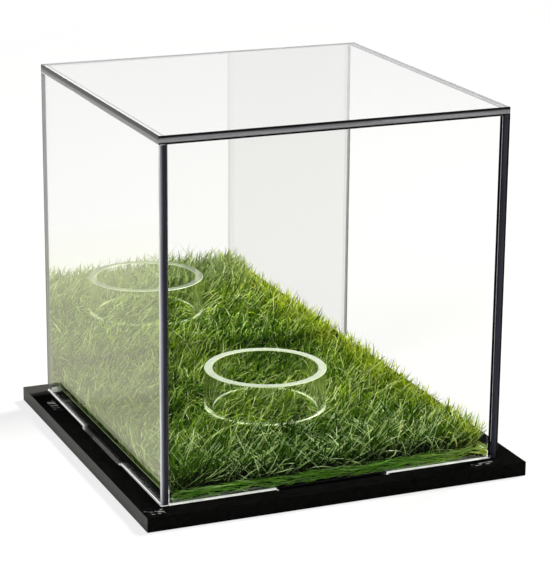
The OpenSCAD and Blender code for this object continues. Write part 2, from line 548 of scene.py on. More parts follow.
def clearMaterial(name, look, later):
    # clear acrylic. Lamps and the light of the room pass straight through, and so does any look through
    # more faces than later: behind the first sheet in line the others neither bend nor mirror
    material, tree, shader = startMaterial(name, {
        "Base Color": look["tint"], "Roughness": 0.0, "IOR": look["index"], "Transmission Weight": 1.0,
    })
    output = findNode(tree, "OUTPUT_MATERIAL")
    link = linker(tree)
    path = addNode(tree, "ShaderNodeLightPath")
    behind = addNode(tree, "ShaderNodeMath", {1: later - 0.5}, operation="GREATER_THAN")
    light = addNode(tree, "ShaderNodeMath", operation="MAXIMUM")
    either = addNode(tree, "ShaderNodeMath", operation="MAXIMUM")
    link(path, "Is Shadow Ray", light, 0)
    link(path, "Is Diffuse Ray", light, 1)
    link(path, "Transmission Depth", behind, 0)
    link(light, 0, either, 0)
    link(behind, 0, either, 1)
    # what the mirror shows through a sheet at a slant is a little dimmer
    slant = addNode(tree, "ShaderNodeLayerWeight", {"Blend": 0.5})
    steep = addNode(tree, "ShaderNodeMapRange", {
        "From Min": look["slantFrom"], "From Max": look["slantTo"],
    })
    mirrored = addNode(tree, "ShaderNodeMath", operation="MULTIPLY")
    shade = addNode(tree, "ShaderNodeMix", {6: grey(1), 7: look["slant"]}, data_type="RGBA")
    passing = addNode(tree, "ShaderNodeBsdfTransparent")
    mix = addNode(tree, "ShaderNodeMixShader")
    link(slant, "Facing", steep, "Value")
    link(steep, "Result", mirrored, 0)
    link(path, "Glossy Depth", mirrored, 1)
    link(mirrored, 0, shade, "Factor")
    link(shade, 2, passing, "Color")
    link(either, 0, mix, 0)
    link(shader, 0, mix, 1)
    link(passing, 0, mix, 2)
    link(mix, 0, output, "Surface")
    return material


def faintInMirror(material, amount, tint, clearInside=False):
    # a finish that shows only faintly in the mirror, and not at all from within the sheet if clearInside
    tree = material.node_tree
    link = linker(tree)
    output = findNode(tree, "OUTPUT_MATERIAL")
    path = addNode(tree, "ShaderNodeLightPath")
    mirrored = addNode(tree, "ShaderNodeMath", {1: amount}, operation="MULTIPLY", use_clamp=True)
    faint = addNode(tree, "ShaderNodeBsdfTransparent", {"Color": tint})
    mix = addNode(tree, "ShaderNodeMixShader")
    link(path, "Glossy Depth", mirrored, 0)
    link(mirrored, 0, mix, 0)
    if clearInside:
        side = addNode(tree, "ShaderNodeNewGeometry")
        either = addNode(tree, "ShaderNodeMath", operation="MAXIMUM")
        link(mirrored, 0, either, 0)
        link(side, "Backfacing", either, 1)
        link(either, 0, mix, 0)
    tree.links.new(output.inputs["Surface"].links[0].from_socket, mix.inputs[1])
    link(faint, 0, mix, 2)
    link(mix, 0, output, "Surface")
    return material


def makeStreakGroup():
    # light and dark streaks, drawn out by the stretch
    group, entry, result = startGroup(
        "fineStreaks",
        [("Stretch", "NodeSocketVector", (1, 1, 1))],
        [("Shade", "NodeSocketFloat")],
    )
    link = linker(group)
    place = addNode(group, "ShaderNodeTexCoord")
    stretched = addNode(group, "ShaderNodeVectorMath", operation="MULTIPLY")
    grain = addNode(group, "ShaderNodeTexNoise", {"Scale": 1.0, "Detail": 3.0})
    spread = addNode(group, "ShaderNodeMapRange", {
        "From Min": 0.3, "From Max": 0.7, "To Min": 0.7, "To Max": 1.3,
    })
    link(place, "Object", stretched, 0)
    link(entry, "Stretch", stretched, 1)
    link(stretched, 0, grain, "Vector")
    link(grain, "Fac", spread, "Value")
    link(spread, "Result", result, "Shade")
    return group


streakGroup = makeStreakGroup()


def edgeMaterial(name, look):
    # a sawn and polished edge with painted bands of reflection and shade across the sheet's thickness,
    # outside and as seen from within
    material, tree, shader = startMaterial(name, {
        "Specular IOR Level": look["specular"], "Roughness": 0.15,
    })
    link = linker(tree)
    place = addNode(tree, "ShaderNodeTexCoord")
    split = addNode(tree, "ShaderNodeSeparateXYZ")
    size = addNode(tree, "ShaderNodeMath", operation="ABSOLUTE")
    across = addNode(tree, "ShaderNodeMapRange", {"From Min": look["from"], "From Max": look["to"]})
    outside = addNode(tree, "ShaderNodeValToRGB")
    inside = addNode(tree, "ShaderNodeValToRGB")
    side = addNode(tree, "ShaderNodeNewGeometry")
    shown = addNode(tree, "ShaderNodeMix", data_type="RGBA")
    streaks = placeGroup(tree, streakGroup, {"Stretch": look["streaks"]})
    streaked = addNode(tree, "ShaderNodeMix", {"Factor": 1.0}, data_type="RGBA", blend_type="MULTIPLY")
    fillRamp(outside, look["outside"])
    fillRamp(inside, look["inside"])
    link(place, "Object", split, 0)
    link(split, look["axis"], size, 0)
    link(size, 0, across, "Value")
    link(across, "Result", outside, "Fac")
    link(across, "Result", inside, "Fac")
    link(side, "Backfacing", shown, "Factor")
    link(outside, "Color", shown, 6)
    link(inside, "Color", shown, 7)
    link(shown, 2, streaked, 6)
    link(streaks, "Shade", streaked, 7)
    link(streaked, 2, shader, "Base Color")
    return faintInMirror(material, 1.0, look["mirrored"], look.get("clearInside", False))


def makeFrontShareGroup():
    # how far a point lies towards the front, as a share
    group, entry, result = startGroup(
        "frontShare",
        [
            ("From", "NodeSocketFloat", 0.0),
            ("To", "NodeSocketFloat", -0.04),
            ("Most", "NodeSocketFloat", 1.0),
        ],
        [("Share", "NodeSocketFloat")],
    )
    link = linker(group)
    place = addNode(group, "ShaderNodeTexCoord")
    split = addNode(group, "ShaderNodeSeparateXYZ")
    share = addNode(group, "ShaderNodeMapRange")
    link(place, "Object", split, 0)
    link(split, "Y", share, "Value")
    link(entry, "From", share, "From Min")
    link(entry, "To", share, "From Max")
    link(entry, "Most", share, "To Max")
    link(share, "Result", result, "Share")
    return group


frontShareGroup = makeFrontShareGroup()
mirroredGrass = {  # painted light: the front of the mat shows paler in the mirror
    "from": -5 * mm,
    "to": -39 * mm,
    "share": 0.6,
    "color": (0.52, 0.62, 0.26, 1),
}


def grassMaterial(name, look):
    # of the stored colour, red runs from root to tip, green is how pale the blade is, blue is its patch
    # with painted shade at the front and alpha is how yellow painted light from behind makes it
    material, tree, shader = startMaterial(name, look["shader"])
    stored = addNode(tree, "ShaderNodeVertexColor", layer_name="bladeTint")
    split = addNode(tree, "ShaderNodeSeparateColor")
    along = addNode(tree, "ShaderNodeValToRGB")
    pale = addNode(tree, "ShaderNodeMix", {7: look["pale"]}, data_type="RGBA")
    sunny = addNode(tree, "ShaderNodeMix", {7: look["sunny"]}, data_type="RGBA")
    patch = addNode(tree, "ShaderNodeMix", {"Factor": 1.0}, data_type="RGBA", blend_type="MULTIPLY")
    shade = addNode(tree, "ShaderNodeValToRGB")
    fillRamp(along, look["along"])
    fillRamp(shade, look["patch"])
    link = linker(tree)
    link(stored, "Color", split, "Color")
    link(split, "Red", along, "Fac")
    link(split, "Green", pale, "Factor")
    link(stored, "Alpha", sunny, "Factor")
    link(along, "Color", sunny, 6)
    link(sunny, 2, pale, 6)
    link(split, "Blue", shade, "Fac")
    link(pale, 2, patch, 6)
    link(shade, "Color", patch, 7)
    # painted light: a paler colour where the mirror shows the front of the mat
    path = addNode(tree, "ShaderNodeLightPath")
    front = placeGroup(tree, frontShareGroup, {
        "From": mirroredGrass["from"], "To": mirroredGrass["to"], "Most": mirroredGrass["share"],
    })
    mirrored = addNode(tree, "ShaderNodeMath", operation="MULTIPLY", use_clamp=True)
    paler = addNode(tree, "ShaderNodeMix", {7: mirroredGrass["color"]}, data_type="RGBA")
    link(front, "Share", mirrored, 0)
    link(path, "Glossy Depth", mirrored, 1)
    link(mirrored, 0, paler, "Factor")
    link(patch, 2, paler, 6)
    link(paler, 2, shader, "Base Color")
    return material


grassLook = {
    "along": [
        (0.0, (0.002, 0.012, 0.0001, 1)),
        (0.35, (0.014, 0.052, 0.0003, 1)),
        (0.65, (0.16, 0.3, 0.002, 1)),
        (1.0, (0.62, 0.92, 0.03, 1)),
    ],
    "pale": (0.9, 1.0, 0.46, 1),
    "sunny": (1.0, 1.0, 0.01, 1),
    "patch": [(0.15, (0.02, 0.08, 0.004, 1)), (0.5, (0.2, 0.33, 0.04, 1)), (0.85, grey(1.0))],
    "shader": {"Roughness": 0.5, "Specular IOR Level": 0.03},
}
strandLook = {
    **grassLook,
    "pale": (0.9, 1.0, 0.38, 1),
    "patch": [(0.15, (0.26, 0.48, 0.1, 1)), (0.7, grey(1.0))],
    "shader": {"Roughness": 0.35, "Specular IOR Level": 0.5},
}
lyingLook = {
    "along": [
        (0.0, (0.03, 0.12, 0.002, 1)),
        (0.4, (0.13, 0.4, 0.005, 1)),
        (1.0, (0.4, 0.85, 0.03, 1)),
    ],
    "pale": (0.8, 0.95, 0.4, 1),
    "sunny": (0.95, 0.85, 0.04, 1),
    "patch": [(0.0, (0.35, 0.5, 0.35, 1)), (1.0, grey(1.0))],
    "shader": {"Roughness": 0.4, "Specular IOR Level": 0.15},
}
paleLook = {
    "along": [
        (0.0, (0.02, 0.05, 0.005, 1)),
        (0.4, (0.18, 0.36, 0.05, 1)),
        (1.0, (0.64, 0.9, 0.34, 1)),
    ],
    "pale": (0.82, 1.0, 0.52, 1),
    "sunny": (0.95, 0.9, 0.4, 1),
    "patch": [(0.0, (0.55, 0.74, 0.42, 1)), (1.0, grey(1.0))],
    "shader": {"Roughness": 0.35, "Specular IOR Level": 0.5},
}

clearSheet = clearMaterial("clearSheet", acrylicLook, later=2)
clearRing = clearMaterial("clearRing", acrylicLook, later=8)
frontLeftEdge = edgeMaterial("frontLeftEdge", frontLeftLook)
frontRightEdge = edgeMaterial("frontRightEdge", frontRightLook)
backLeftEdge = edgeMaterial("backLeftEdge", backLeftLook)
backRightEdge = edgeMaterial("backRightEdge", backRightLook)
topFrontEdge = edgeMaterial("topFrontEdge", topFrontLook)
topLeftEdge = edgeMaterial("topLeftEdge", topLeftLook)
topFarEdge = edgeMaterial("topFarEdge", topFarLook)
topBond = edgeMaterial("topBond", topBondLook)
backBond = edgeMaterial("backBond", backBondLook)
nearBond = edgeMaterial("nearBond", nearBondLook)
backLeftBond = edgeMaterial("backLeftBond", backLeftBondLook)
backRightBond = edgeMaterial("backRightBond", backRightBondLook)
frontRightBond = edgeMaterial("frontRightBond", frontRightBondLook)
leftFoot = edgeMaterial("leftFoot", leftFootLook)
cutEdge = speckledMaterial("cutEdge", cutEdgeLook)
footLine = speckledMaterial("footLine", footLineLook)
ringRim = faintInMirror(speckledMaterial("ringRim", ringRimLook), amount=0.55, tint=grey(1))
ringFoot = faintInMirror(speckledMaterial("ringFoot", ringFootLook), amount=0.2, tint=grey(1))
blackAcrylic = glossMaterial("blackAcrylic", blackLook)
blackSide = speckledMaterial("blackSide", blackSideLook)
blackSawn = speckledMaterial("blackSawn", sawnLook)
mirrorFace = startMaterial("mirrorFace", mirrorLook)[0]
mirrorPaint = speckledMaterial("mirrorPaint", paintLook)
latexCoat = speckledMaterial("latexCoat", latexLook)
adhesiveFilm = adhesiveMaterial("adhesiveFilm", adhesiveLook)
rootEdge = edgeMaterial("rootEdge", rootEdgeLook)
rootCloth = speckledMaterial("rootCloth", rootLook)
grassYarn = grassMaterial("grassYarn", grassLook)
strandYarn = grassMaterial("strandYarn", strandLook)
lyingYarn = grassMaterial("lyingYarn", lyingLook)
paleYarn = grassMaterial("paleYarn", paleLook)
print("materials made")

# sheet pieces
sharpAngle = math.radians(30)
# a face counts with a side when its normal leans that way at least this much: leaning takes in the whole
# bevel beside it, mostly and square the nearer half, and flat none of it
leaning = 0.3
mostly = 0.5
square = 0.9
flat = 0.99


def takeMesh(name, shape):
    mesh = bpy.data.meshes.new(name)
    shape.to_mesh(mesh)
    shape.free()
    return mesh


def finishPiece(name, mesh, body, nodes, materials):
    piece = bpy.data.objects.new(name, mesh)
    for material in materials:
        mesh.materials.append(material)
    bpy.context.scene.collection.objects.link(piece)
    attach(piece, body)
    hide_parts(*nodes)


def plateMesh(name, us, vs, keep, low, high, place, eased, bevel):
    # a flat plate: the kept cells of a grid of lines us and vs, from low to high, placed in the world by
    # place, with its sharp edges eased by bevel where eased is true of their middle
    shape = bmesh.new()
    corners = {}

    def corner(i, j, w):
        if (i, j, w) not in corners:
            corners[i, j, w] = shape.verts.new(place(us[i], vs[j], w))
        return corners[i, j, w]

    kept = {(i, j) for i in range(len(us) - 1) for j in range(len(vs) - 1) if keep(i, j)}
    for i, j in kept:
        ring = [(i, j), (i + 1, j), (i + 1, j + 1), (i, j + 1)]
        shape.faces.new([corner(*c, high) for c in ring])
        shape.faces.new([corner(*c, low) for c in reversed(ring)])
        for k, beside in enumerate([(i, j - 1), (i + 1, j), (i, j + 1), (i - 1, j)]):
            if beside not in kept:
                a, b = ring[k], ring[(k + 1) % 4]
                shape.faces.new([corner(*a, low), corner(*b, low), corner(*b, high), corner(*a, high)])
    bmesh.ops.recalc_face_normals(shape, faces=shape.faces)
    bmesh.ops.dissolve_limit(shape, angle_limit=math.radians(1), verts=shape.verts, edges=shape.edges)
    sharp = [e for e in shape.edges if e.calc_face_angle(0) > sharpAngle]
    sharp = [e for e in sharp if eased((e.verts[0].co + e.verts[1].co) / 2)]
    bmesh.ops.bevel(shape, geom=sharp, offset=bevel, segments=2, profile=0.5, affect="EDGES")
    return takeMesh(name, shape)


cover = {
    "tabWidth": 28 * mm,
    "tabPlay": 0.3 * mm,
    "bond": 0.02 * mm,  # half the gap at a bonded joint
    "bondedWithin": 2.5 * mm,  # of the outer face, where the front and back meet the sides
    "near": 0.1 * mm,
    "bevel": {
        "left_panel": 0.3 * mm,
        "right_panel": 0.15 * mm,
        "front_panel": 0.12 * mm,
        "back_panel": 0.12 * mm,
        "top_panel": 0.2 * mm,
    },
}
baseLow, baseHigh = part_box("base_plate")


def coverSheet(name, across, tabbed, eased, paint):
    # across is the axis of the sheet's thickness, eased is true where an edge is bevelled, and paint picks
    # a material by a face's normal; the tab's sides are as its foot
    low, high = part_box(name)
    gap = cover["bond"]
    half = cover["tabWidth"] / 2
    u, v = [axis for axis in range(3) if axis != across]
    us = [low[u] + gap, high[u] - gap]
    vs = [low[v] + gap, high[v] - gap]
    if tabbed:
        us[1:1] = [-half, half]
        vs[1:1] = [baseHigh.z + gap]

    def keep(i, j):
        return not tabbed or j == 1 or i == 1

    def place(a, b, w):
        point = [0, 0, 0]
        point[u], point[v], point[across] = a, b, w
        return point

    bevel = cover["bevel"][name]
    mesh = plateMesh(name, us, vs, keep, low[across] + gap, high[across] - gap, place, eased, bevel)
    kinds = []
    for face in mesh.polygons:
        inTab = tabbed and face.center.z < baseHigh.z and abs(face.normal[u]) > leaning
        kind = cutEdge if inTab else paint(face.normal)
        if kind not in kinds:
            kinds.append(kind)
        face.material_index = kinds.index(kind)
    finishPiece("clear_" + name, mesh, "cover", [name], kinds)


# which edges are eased: the bonded ones stay square
def sideEased(middle):
    below = middle.z < topLow.z - cover["near"]
    return below and (abs(middle.x) > outerX - cover["near"] or middle.x < 0)


def frontEased(middle):
    return middle.z < topLow.z - cover["near"] and abs(middle.x) < outerX - cover["bondedWithin"]


def topEased(middle):
    return middle.z > topLow.z + cover["near"]


# which material a face has
def leftPaint(normal):
    if normal.z < -flat:
        return leftFoot
    if normal.z < -leaning:
        return footLine
    if normal.z > square:
        return nearBond
    if abs(normal.y) > leaning:
        return frontLeftEdge if normal.y < 0 else backLeftEdge
    return clearSheet


def rightPaint(normal):
    if normal.z < -leaning:
        return cutEdge
    if normal.z > square:
        return topBond
    if abs(normal.y) > leaning:
        return frontRightEdge if normal.y < 0 else backRightEdge
    return clearSheet


def frontPaint(normal):
    if normal.z < -leaning:
        return cutEdge
    return frontRightBond if normal.x > mostly else clearSheet


def backPaint(normal):
    if normal.z < -leaning:
        return cutEdge
    if normal.z > square:
        return backBond
    if abs(normal.x) > mostly:
        return backRightBond if normal.x > 0 else backLeftBond
    return mirrorFace if normal.y > flat else clearSheet


def topPaint(normal):
    if abs(normal.z) > flat:
        return clearSheet
    if abs(normal.y) > abs(normal.x):
        return topFrontEdge if normal.y < 0 else topFarEdge
    return topLeftEdge if normal.x < 0 else topFarEdge


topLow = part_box("top_panel")[0]
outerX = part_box("right_panel")[1].x
coverSheet("left_panel", 0, True, sideEased, leftPaint)
coverSheet("right_panel", 0, True, sideEased, rightPaint)
coverSheet("front_panel", 1, True, frontEased, frontPaint)
coverSheet("back_panel", 1, True, frontEased, backPaint)
coverSheet("top_panel", 2, False, topEased, topPaint)
print("cover made")


# base plate, with a slot for each tab
base = {"bevel": 0.15 * mm, "sawnWithin": 0.5 * mm}


def makeBasePlate():
    slotHalf = cover["tabWidth"] / 2 + cover["tabPlay"]
    lines = []
    for axis, name in ((0, "right_panel"), (1, "front_panel")):
        low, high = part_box(name)
        inner = min(abs(low[axis]), abs(high[axis])) - cover["tabPlay"]
        outer = max(abs(low[axis]), abs(high[axis])) + cover["tabPlay"]
        lines.append([baseLow[axis], -outer, -inner, -slotHalf, slotHalf, inner, outer, baseHigh[axis]])
    slots = {(1, 3), (5, 3), (3, 1), (3, 5)}
    mesh = plateMesh(
        "basePlate", lines[0], lines[1], lambda i, j: (i, j) not in slots, baseLow.z, baseHigh.z,
        lambda a, b, w: (a, b, w), lambda middle: True, base["bevel"],
    )
    # the sawn left and right sides are duller than the rest
    for face in mesh.polygons:
        sawn = abs(face.normal.x) > mostly and abs(face.center.x) > baseHigh.x - base["sawnWithin"]
        face.material_index = 0 if abs(face.normal.z) > square else 1 if sawn else 2
    kinds = [blackAcrylic, blackSawn, blackSide]
    finishPiece("black_base_plate", mesh, "base", ["base_plate"], kinds)


makeBasePlate()
print("base plate made")


# ring stand, turned round the Z axis
ringLow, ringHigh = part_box("ring_stand")
ring = {"wall": 2 * mm, "bevel": 0.15 * mm, "steps": 160, "outer": ringHigh.x}


def makeRing():
    outer, inner, ease = ring["outer"], ring["outer"] - ring["wall"], ring["bevel"]
    low, high = ringLow.z, ringHigh.z
    profile = [
        (inner + ease, low), (outer - ease, low), (outer, low + ease), (outer, high - ease),
        (outer - ease, high), (inner + ease, high), (inner, high - ease), (inner, low + ease),
    ]
    steps, count = ring["steps"], len(profile)
    points, faces = [], []
    for k in range(steps):
        angle = 2 * math.pi * k / steps
        points += [(r * math.cos(angle), r * math.sin(angle), z) for r, z in profile]
        following = (k + 1) % steps * count
        for i in range(count):
            j = (i + 1) % count
            faces.append((k * count + i, following + i, following + j, k * count + j))
    mesh = bpy.data.meshes.new("ringStand")
    mesh.from_pydata(points, [], faces)
    mesh.update()
    kinds = [clearRing, ringRim, ringFoot]
    finishPiece("clear_ring_stand", mesh, "ring", ["ring_stand"], kinds)
    for face in mesh.polygons:
        face.use_smooth = True
        rim = face.normal.z  # the chamfers beside both rims lean mostly up or down
        face.material_index = 1 if rim > square else 2 if abs(rim) > mostly else 0
    mesh.set_sharp_from_angle(angle=sharpAngle)


makeRing()
print("ring made")


# turf mat
turfLow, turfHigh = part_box("turf_pile")
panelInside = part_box("right_panel")[0].x
turf = {
    "rootThickness": 0.8 * mm,
    "cornerRadius": 2 * mm,
    "cornerSteps": 6,
    "inset": 0.2 * mm,
    "wallGap": 0.12 * mm,
    "rimBand": 3 * mm,
    "frontBand": 22 * mm,
    "frontPower": 1.5,  # how the blades gather at the front of that band
    "frontStray": 0.5,  # radians
    "leftBand": 0.8 * mm,
    "leftStray": 0.25,
    "fringeTurn": (48, 92),  # degrees between a fringe blade and straight out
    "sunk": 0.2 * mm,  # how deep a blade's foot stands in the root layer
    "combed": 0.7,  # share of the blades that lean to the right
    "stray": 0.6,  # radians that the combed ones stray
    "patchTurn": 1.2,  # radians that a patch turns them
    "sunFrom": 25 * mm,
    "sunShare": 1.0,
    "patchShare": 0.35,  # how much a blade's shade follows its patch and not chance
    "paintedShadeFrom": -10 * mm,  # in front of this line the grass gets painted shade
    "paintedShadeReach": 25 * mm,
    "waves": [(95, 60, 0.7), (-70, 130, 2.1), (160, -45, 4.0)],  # per metre in X and Y, and a shift
    "pressSlope": 0.8,  # how fast the grass rises away from the ring
    "pressMargin": 0.5 * mm,
    "pressGap": 0.08 * mm,
    "overBase": 0.3 * mm,
    "overRoots": 0.15 * mm,
    "seed": 5,
}
bladeForm = {
    "stations": (0.0, 0.28, 0.55, 0.8, 1.0),  # shares of the length, from root to tip
    "taper": 0.75,
    "taperPower": 1.7,
    "ridge": 0.6,  # share of half the width
    "curlPower": 1.4,
    "twist": 0.8,  # radians to either side
    "roll": 0.9,
    "shortest": 0.85,  # share of the length that is left where the patches are low
    "taller": 0.3,  # what it gains where they are high
    "wallGap": 0.03 * mm,
    "paleAtRoot": 0.1,  # shares of what the tip has
    "sunAtRoot": 0.25,
    "sunSpread": (0.4, 1.0),
}
blades = {
    "count": 8600,
    "length": (5.0 * mm, 9.0 * mm),
    "width": (0.36 * mm, 0.6 * mm),
    "lean": (6, 50),
    "curl": (0, 85),
    "along": 1.0,
    "pale": (0.0, 0.8, 6.0),  # least, most and how rare the pale ones are
    "frontPaintedShade": 0.52,  # how much painted shade darkens them at the front
}
thatch = {
    "count": 3600,
    "length": (3.0 * mm, 5.0 * mm),
    "width": (0.26 * mm, 0.42 * mm),
    "lean": (25, 75),
    "curl": (30, 140),
    "along": 0.55,
    "pale": (0.0, 0.2, 1.5),
    "frontPaintedShade": 0.52,
}
strands = {
    "count": 2400,
    "length": (6.0 * mm, 10 * mm),
    "width": (0.3 * mm, 0.46 * mm),
    "lean": (15, 55),
    "curl": (10, 80),
    "along": 1.0,
    "pale": (0.5, 1.0, 0.7),
    "frontPaintedShade": 0.0,
}
border = {
    "count": 1500,
    "length": (5.5 * mm, 8.4 * mm),
    "width": (0.3 * mm, 0.5 * mm),
    "lean": (4, 30),
    "curl": (0, 60),
    "along": 1.0,
    "pale": (0.0, 0.8, 3.0),
    "frontPaintedShade": 0.4,
}
frontStrands = {
    "count": 560,
    "length": (7.0 * mm, 11.5 * mm),
    "width": (0.24 * mm, 0.38 * mm),
    "lean": (25, 66),
    "curl": (0, 40),
    "along": 1.0,
    "pale": (0.6, 1.0, 0.7),
    "frontPaintedShade": 0.0,
}
fringe = {
    "count": 1300,
    "length": (5.5 * mm, 11 * mm),
    "width": (0.26 * mm, 0.46 * mm),
    "lean": (80, 104),
    "curl": (-15, 20),
    "along": 0.9,
    "pale": (0.0, 1.0, 2.0),
    "frontPaintedShade": 0.4,
}
leftTrim = {
    "count": 600,
    "length": (4.0 * mm, 8 * mm),
    "width": (0.26 * mm, 0.42 * mm),
    "lean": (50, 88),
    "curl": (-10, 20),
    "along": 1.0,
    "pale": (0.1, 0.9, 1.5),
    "frontPaintedShade": 0.0,
}
rootTop = turfLow.z + turf["rootThickness"]
rng = np.random.RandomState(turf["seed"])


def patchField(x, y):
    # slow waves over the mat, from 0 to 1, that comb and colour the grass in patches
    wave = sum(np.sin(a * x + b * y + shift) for a, b, shift in turf["waves"])
    return 0.5 + wave / (2 * len(turf["waves"]))


def sunField(x):
    # from 0 to 1 in the strip along the right border, where painted light comes through the blades
    return np.clip((x - turf["sunFrom"]) / (turfHigh.x - turf["sunFrom"]), 0, 1)


def scatter(count):
    # places all over the mat, one in each cell of a grid
    side = int(math.sqrt(count))
    span = turfHigh.x - turfLow.x - 2 * turf["inset"]
    ix, iy = np.meshgrid(np.arange(side), np.arange(side))
    x = (ix.ravel() + rng.rand(side * side)) * span / side - span / 2
    y = (iy.ravel() + rng.rand(side * side)) * span / side - span / 2
    combed = rng.normal(0, turf["stray"], side * side) + turf["patchTurn"] * (patchField(x, y) - 0.5)
    heading = np.where(rng.rand(side * side) < turf["combed"], combed, 2 * np.pi * rng.rand(side * side))
    return x, y, np.full(side * side, rootTop - turf["sunk"]), heading


def scatterBorder(count):
    # places along the mat's border, heading outwards and to either side
    edge = turfHigh.x - turf["inset"]
    along = rng.uniform(-edge, edge, count)
    normal = rng.choice([-1, 0, 1], count) * np.pi / 2  # the left side stays bare
    x = edge * np.cos(normal) - along * np.sin(normal)
    y = edge * np.sin(normal) + along * np.cos(normal)
    heading = normal + rng.choice([-1, 1], count) * np.radians(rng.uniform(*turf["fringeTurn"], count))
    return x, y, rng.uniform(turfLow.z, rootTop, count), heading


def scatterLeft(count):
    # places along the mat's left border, heading to the front or the back
    edge = turfHigh.x - turf["inset"]
    x = rng.uniform(0, turf["leftBand"], count) - edge
    y = rng.uniform(-edge, edge, count)
    heading = rng.choice([-1, 1], count) * np.pi / 2 + rng.normal(0, turf["leftStray"], count)
    return x, y, np.full(count, rootTop - turf["sunk"] / 2), heading


def scatterRim(count):
    # places in a band just inside the mat's border
    edge = turfHigh.x - turf["inset"]
    along = rng.uniform(-edge, edge, count)
    normal = rng.randint(0, 4, count) * np.pi / 2
    inset = edge - rng.rand(count) * turf["rimBand"]
    x = inset * np.cos(normal) - along * np.sin(normal)
    y = inset * np.sin(normal) + along * np.cos(normal)
    return x, y, np.full(count, rootTop - turf["sunk"]), 2 * np.pi * rng.rand(count)


def scatterFront(count):
    # places in a band along the front, heading to either side
    x = rng.uniform(turfLow.x, turfHigh.x, count)
    y = turfLow.y + turf["frontBand"] * rng.rand(count) ** turf["frontPower"]
    heading = np.where(rng.rand(count) < 0.5, 0, np.pi) + rng.normal(0, turf["frontStray"], count)
    return x, y, np.full(count, rootTop - turf["sunk"]), heading


def pressGrass(centres):
    # keeps the blades inside the cover's walls, over the base and under the ring
    wall = panelInside - turf["wallGap"]
    x = np.clip(centres[:, :, 0], turfLow.x, wall)
    y = np.clip(centres[:, :, 1], -wall, wall)
    radius = np.hypot(x, y)
    inner = ring["outer"] - ring["wall"]
    outside = np.maximum(radius - ring["outer"], inner - radius) - turf["pressMargin"]
    ceiling = ringLow.z - turf["pressGap"] + turf["pressSlope"] * np.maximum(outside, 0)
    z = np.minimum(centres[:, :, 2], ceiling)
    over = np.maximum(np.abs(x), np.abs(y)) > turfHigh.x
    floor = np.where(over, baseHigh.z + turf["overBase"], rootTop + turf["overRoots"])
    z[:, 1:] = np.maximum(z[:, 1:], floor[:, 1:])
    return np.stack([x, y, z], 2)


def bendBlades(kind, x, y, z, heading):
    # the middle line of each blade, its heading at each station and how far it rolls over
    count = len(x)
    twist = rng.uniform(-1, 1, count) * bladeForm["twist"]
    roll = rng.uniform(-1, 1, count) * bladeForm["roll"]
    patch = bladeForm["shortest"] + bladeForm["taller"] * patchField(x, y)
    length = rng.uniform(*kind["length"], count) * patch
    lean = np.radians(rng.uniform(*kind["lean"], count))
    curl = np.radians(rng.uniform(*kind["curl"], count))
    centres = [np.stack([x, y, z], 1)]
    turns = []
    for before, after in zip(bladeForm["stations"], bladeForm["stations"][1:]):
        middle = (before + after) / 2
        bend = lean + curl * middle ** bladeForm["curlPower"]
        around = heading + twist * middle
        step = np.stack([np.sin(bend) * np.cos(around), np.sin(bend) * np.sin(around), np.cos(bend)], 1)
        centres.append(centres[-1] + step * ((after - before) * length)[:, None])
        turns.append(around)
    turns.append(turns[-1])
    return pressGrass(np.stack(centres, 1)), np.stack(turns, 1), roll


def skinBlades(kind, centres, turns, roll):
    # three points round each station, two sides and the ridge between them, and one at the tip
    count = len(roll)
    shares = np.array(bladeForm["stations"])
    tangents = np.gradient(centres, axis=1)
    tangents /= np.linalg.norm(tangents, axis=2, keepdims=True) + 1e-12
    level = np.stack([-np.sin(turns), np.cos(turns), np.zeros_like(turns)], 2)
    upright = np.cross(tangents, level)
    rolled = level * np.cos(roll)[:, None, None] + upright * np.sin(roll)[:, None, None]
    ridge = np.cross(tangents, rolled)
    thinning = 1 - bladeForm["taper"] * shares ** bladeForm["taperPower"]
    half = (rng.uniform(*kind["width"], count)[:, None] * thinning / 2)[:, :, None]
    top = centres + ridge * half * bladeForm["ridge"]
    rings = np.stack([centres - rolled * half, centres + rolled * half, top], 2)
    points = np.concatenate([rings[:, :-1].reshape(count, -1, 3), centres[:, -1:]], 1)
    wall = panelInside - bladeForm["wallGap"]
    points[:, :, :2] = np.clip(points[:, :, :2], -wall, wall)
    return points


def bladeFaces():
    # the faces of one blade, over the points that skinBlades gives it
    last = 3 * (len(bladeForm["stations"]) - 2)
    faces = [(2, 1, 0)]
    for low in range(0, last, 3):
        for a in range(3):
            b = (a + 1) % 3
            faces.append((low + a, low + b, low + 3 + b, low + 3 + a))
    return faces + [(last + a, last + (a + 1) % 3, last + 3) for a in range(3)]


def tintBlades(kind, x, y):
    # what grassMaterial reads: root to tip, paleness, patch with painted front shade, and painted sun
    count = len(x)
    shares = np.array(bladeForm["stations"])
    along = np.concatenate([np.repeat(shares[:-1], 3), shares[-1:]])[None, :]
    least, most, rarity = kind["pale"]
    pale = least + (most - least) * rng.rand(count) ** rarity
    shade = turf["patchShare"] * patchField(x, y) + (1 - turf["patchShare"]) * rng.rand(count)
    # painted shade towards the front of the mat
    shade *= 1 - kind["frontPaintedShade"] * np.clip((turf["paintedShadeFrom"] - y) / turf["paintedShadeReach"], 0, 1)
    sun = turf["sunShare"] * sunField(x) * rng.uniform(*bladeForm["sunSpread"], count)
    paleRoot, sunRoot = bladeForm["paleAtRoot"], bladeForm["sunAtRoot"]
    colours = np.ones((count, along.size, 4), np.float32)
    colours[:, :, 0] = along * kind["along"]
    colours[:, :, 1] = pale[:, None] * (paleRoot + (1 - paleRoot) * along)
    colours[:, :, 2] = np.maximum(shade, sun)[:, None]
    colours[:, :, 3] = sun[:, None] * (sunRoot + (1 - sunRoot) * along)
    return colours


